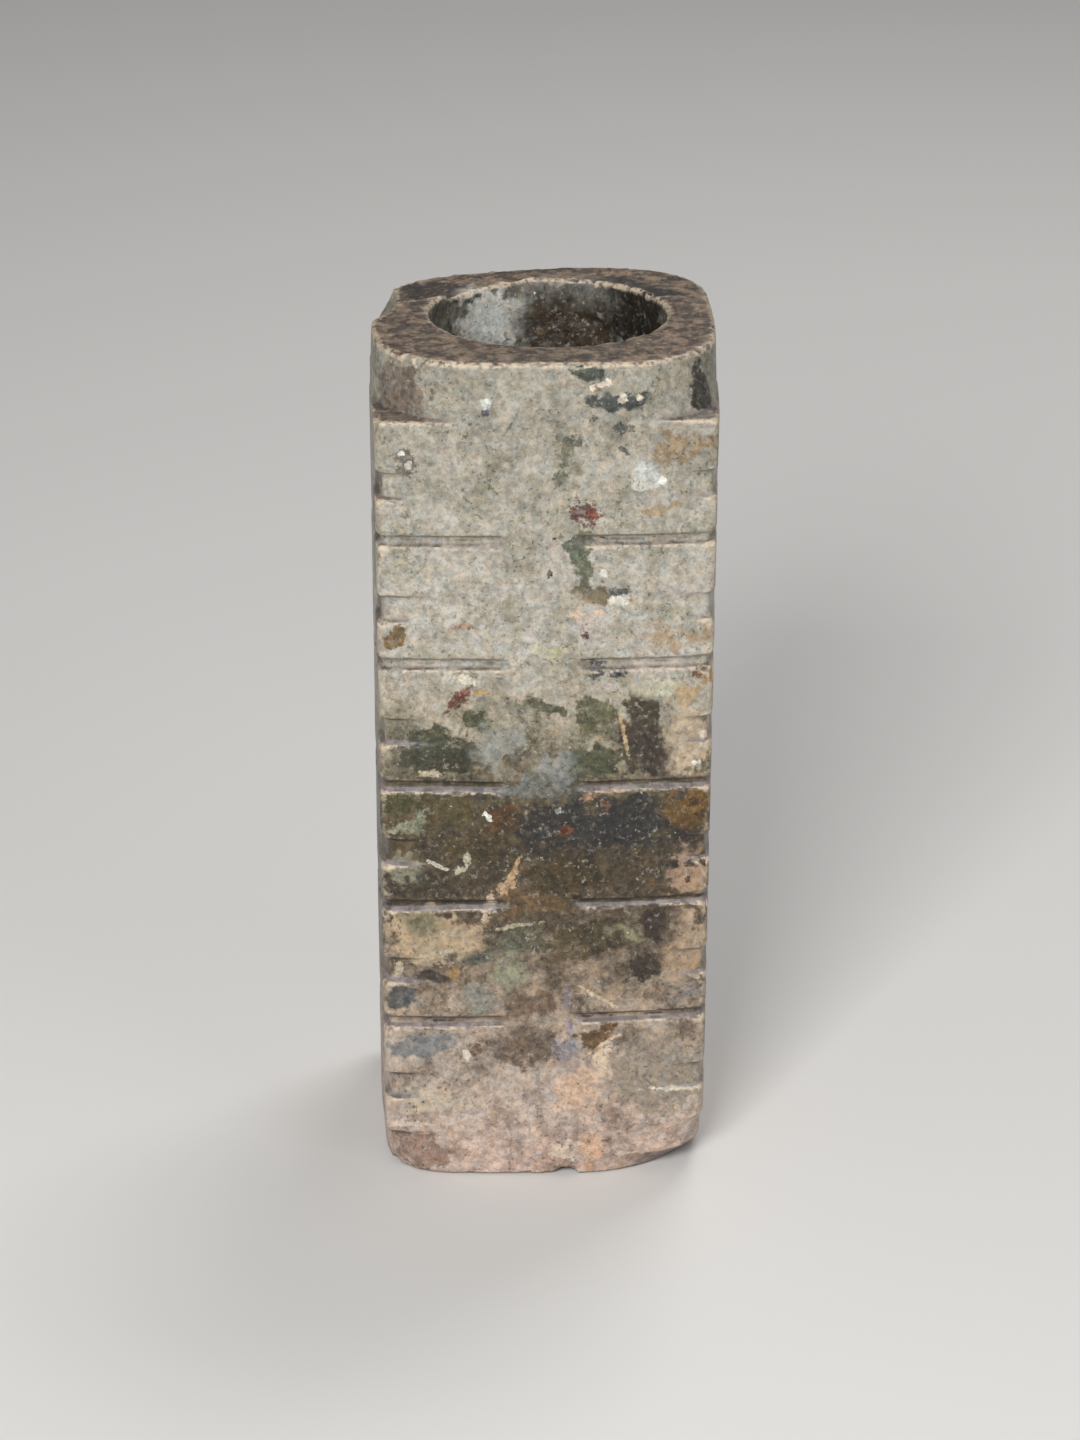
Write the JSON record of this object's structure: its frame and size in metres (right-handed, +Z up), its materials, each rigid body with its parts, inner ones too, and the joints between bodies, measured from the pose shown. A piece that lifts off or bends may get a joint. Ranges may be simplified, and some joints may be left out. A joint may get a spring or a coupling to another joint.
{
  "type": "jade cong",
  "caption": "Tall tapering square jade block with a round bore from end to end, carved tiers and a low rounded collar at each end.",
  "frame": {"origin": "middle of the underside, where the block rests", "axes": "+Z up along the block towards the wider, chipped rim; -Y is the front face of the picture, +X to its right"},
  "size_m": [0.0744, 0.0744, 0.187],
  "materials": {
    "weathered_nephrite": "worn satin polish, mottled grey green to brown"
  },
  "bodies": {
    "root": {"cong": "weathered_nephrite"}
  },
  "joints": []
}
